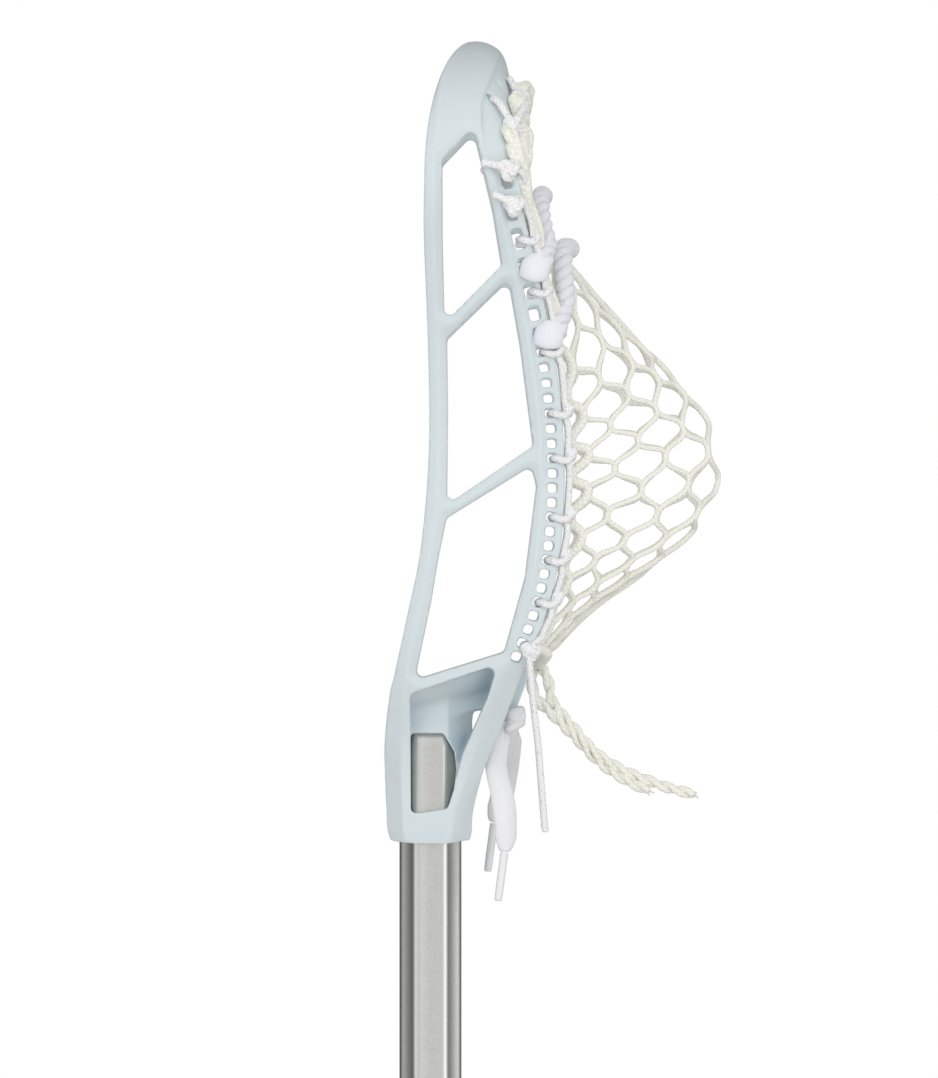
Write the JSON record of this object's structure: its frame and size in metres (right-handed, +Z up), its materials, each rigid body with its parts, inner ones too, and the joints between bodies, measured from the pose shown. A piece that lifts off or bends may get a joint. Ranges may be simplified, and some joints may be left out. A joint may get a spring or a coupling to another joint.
{
  "type": "lacrosse stick",
  "caption": "Strung lacrosse stick: octagonal alloy shaft with butt cap, open-sidewall nylon head, mesh pocket, shooting strings and swinging lace ends.",
  "frame": {"origin": "centre of the butt cap's flat end", "axes": "+Z up the shaft to the scoop, +X the back of the head where the pocket hangs, Y across the head"},
  "size_m": [0.1375, 0.1664, 1.0475],
  "materials": {
    "head_nylon": "satin moulded nylon, pale ice blue",
    "shaft_aluminium": "satin brushed, drawn along the shaft",
    "cap_rubber": "matt moulded",
    "screw_steel": "plated",
    "stop_foam": "closed-cell foam",
    "mesh_cord": "knitted ivory mesh cord",
    "string_cord": "braided white nylon cord",
    "shooting_lace": "tubular woven white lace",
    "flat_lace": "flat woven white lace",
    "aglet_plastic": "clear-white heat-shrunk sleeve"
  },
  "bodies": {
    "stick": {"head_frame": "head_nylon", "shaft": "shaft_aluminium", "butt_cap": "cap_rubber", "head_screw": "screw_steel", "ball_stop_pad": "stop_foam", "mesh_pocket": "mesh_cord", "top_string": "string_cord", "shooting_string_upper": "shooting_lace", "shooting_string_lower": "shooting_lace", "bottom_lace": "flat_lace", "sidewall_string_left": "string_cord", "sidewall_string_right": "string_cord"},
    "sidewall_tail_left": {"sidewall_string_tail_left": "string_cord"},
    "sidewall_tail_right": {"sidewall_string_tail_right": "string_cord"},
    "lace_end_left": {"lace_tail_left": "flat_lace", "aglet_left": "aglet_plastic"},
    "lace_end_right": {"lace_tail_right": "flat_lace", "aglet_right": "aglet_plastic"},
    "mesh_end": {"mesh_tail": "mesh_cord"}
  },
  "joints": [
    {"name": "sidewall_tail_left_swing", "type": "hinge", "parent": "stick", "child": "sidewall_tail_left", "pos_m": [0.04, -0.0428, 0.7985], "axis": [0, -1, 0], "range_deg": [-15, 60], "stiffness_Nm_per_rad": 0.002},
    {"name": "sidewall_tail_right_swing", "type": "hinge", "parent": "stick", "child": "sidewall_tail_right", "pos_m": [0.04, 0.0428, 0.7985], "axis": [0, -1, 0], "range_deg": [-15, 60], "stiffness_Nm_per_rad": 0.002},
    {"name": "lace_end_left_swing", "type": "hinge", "parent": "stick", "child": "lace_end_left", "pos_m": [0.0345, -0.015, 0.77], "axis": [0, -1, 0], "range_deg": [-2, 60], "stiffness_Nm_per_rad": 0.003},
    {"name": "lace_end_right_swing", "type": "hinge", "parent": "stick", "child": "lace_end_right", "pos_m": [0.0345, 0.015, 0.77], "axis": [0, -1, 0], "range_deg": [-2, 60], "stiffness_Nm_per_rad": 0.003},
    {"name": "mesh_end_swing", "type": "hinge", "parent": "stick", "child": "mesh_end", "pos_m": [0.044, 0, 0.7915], "axis": [0, -1, 0], "range_deg": [-6, 30], "stiffness_Nm_per_rad": 0.06}
  ]
}
